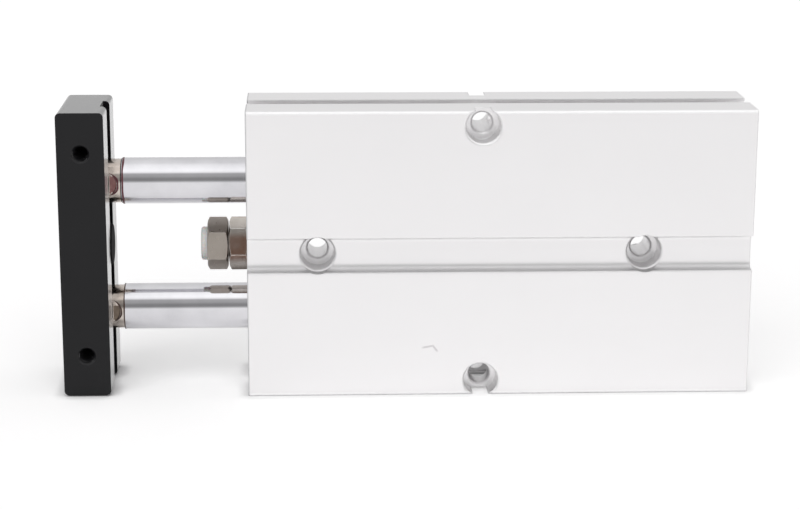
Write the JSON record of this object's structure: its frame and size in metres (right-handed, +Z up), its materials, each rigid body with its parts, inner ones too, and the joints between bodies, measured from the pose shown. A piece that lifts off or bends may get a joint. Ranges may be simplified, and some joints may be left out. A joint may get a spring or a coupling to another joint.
{
  "type": "guided pneumatic cylinder",
  "caption": "Twin-rod guided air cylinder: flat extruded body with parallel bores, polished rods, black end plate and an adjustable stop bolt.",
  "frame": {"origin": "centre of the footprint on the surface that the cylinder stands on, with the plate part way out", "axes": "X along the rods, with the end plate at -X; Y across the body's depth, with the air ports at +Y; Z up the body's height"},
  "size_m": [0.1474, 0.025, 0.062],
  "materials": {
    "body_alloy": "fine satin silver anodised",
    "plate_alloy": "satin black anodised",
    "black_rubber": "matt",
    "nickel_steel": "nickel plated",
    "nickel_steel_nut": "zinc plated, warm tint",
    "bumper_urethane": "pale polyurethane, slightly translucent",
    "rod_chrome": "hard chromed and ground",
    "screw_steel": "black oxide",
    "gland_alloy": "machined bearing alloy",
    "bush_bronze": "oiled sintered bronze",
    "seal_rubber": "nitrile rubber",
    "cushion_urethane": "polyurethane",
    "clip_steel": "phosphated spring steel",
    "cap_alloy": "turned",
    "piston_alloy": "turned",
    "bonded_magnet": "plastic-bonded ferrite",
    "wear_plastic": "filled acetal",
    "nut_steel": "zinc plated",
    "plug_steel": "plain steel pin"
  },
  "bodies": {
    "housing": {"body": "body_alloy", "gland_upper": "gland_alloy", "gland_lower": "gland_alloy", "gland_ring_upper": "seal_rubber", "gland_ring_lower": "seal_rubber", "rod_seal_upper": "seal_rubber", "rod_seal_lower": "seal_rubber", "rod_bush_upper": "bush_bronze", "rod_bush_lower": "bush_bronze", "front_pad_upper": "cushion_urethane", "front_pad_lower": "cushion_urethane", "front_clip_upper": "clip_steel", "front_clip_lower": "clip_steel", "rear_cap_upper": "cap_alloy", "rear_cap_lower": "cap_alloy", "cap_ring_upper": "seal_rubber", "cap_ring_lower": "seal_rubber", "rear_pad_upper": "cushion_urethane", "rear_pad_lower": "cushion_urethane", "rear_clip_upper": "clip_steel", "rear_clip_lower": "clip_steel", "passage_plug_front": "plug_steel", "passage_plug_rear": "plug_steel", "lock_nut": "nickel_steel_nut"},
    "carriage": {"end_plate": "plate_alloy", "strike_pad": "black_rubber", "rod_upper": "rod_chrome", "rod_lower": "rod_chrome", "plate_screw_upper": "screw_steel", "plate_screw_lower": "screw_steel", "piston_front_upper": "piston_alloy", "piston_front_lower": "piston_alloy", "piston_rear_upper": "piston_alloy", "piston_rear_lower": "piston_alloy", "wear_ring_upper": "wear_plastic", "wear_ring_lower": "wear_plastic", "magnet_upper": "bonded_magnet", "magnet_lower": "bonded_magnet", "piston_seal_upper": "seal_rubber", "piston_seal_lower": "seal_rubber", "piston_nut_upper": "nut_steel", "piston_nut_lower": "nut_steel"},
    "stop_slide": {"bumper": "bumper_urethane"},
    "stop_screw": {"stop_bolt": "nickel_steel"}
  },
  "joints": [
    {"name": "rod_slide", "type": "slide", "parent": "housing", "child": "carriage", "axis": [-1, 0, 0], "range_m": [-0.0158, 0.0312]},
    {"name": "stop_adjust", "type": "slide", "parent": "housing", "child": "stop_slide", "axis": [-1, 0, 0], "range_m": [0, 0.003]},
    {"name": "stop_turn", "type": "hinge", "parent": "stop_slide", "child": "stop_screw", "pos_m": [-0.04025, 0, 0.031], "axis": [-1, 0, 0], "range_deg": [0, 1080]}
  ],
  "couplings": [
    {"joint": "stop_turn", "follows": "stop_adjust", "rad_per_m": 6283.2}
  ]
}
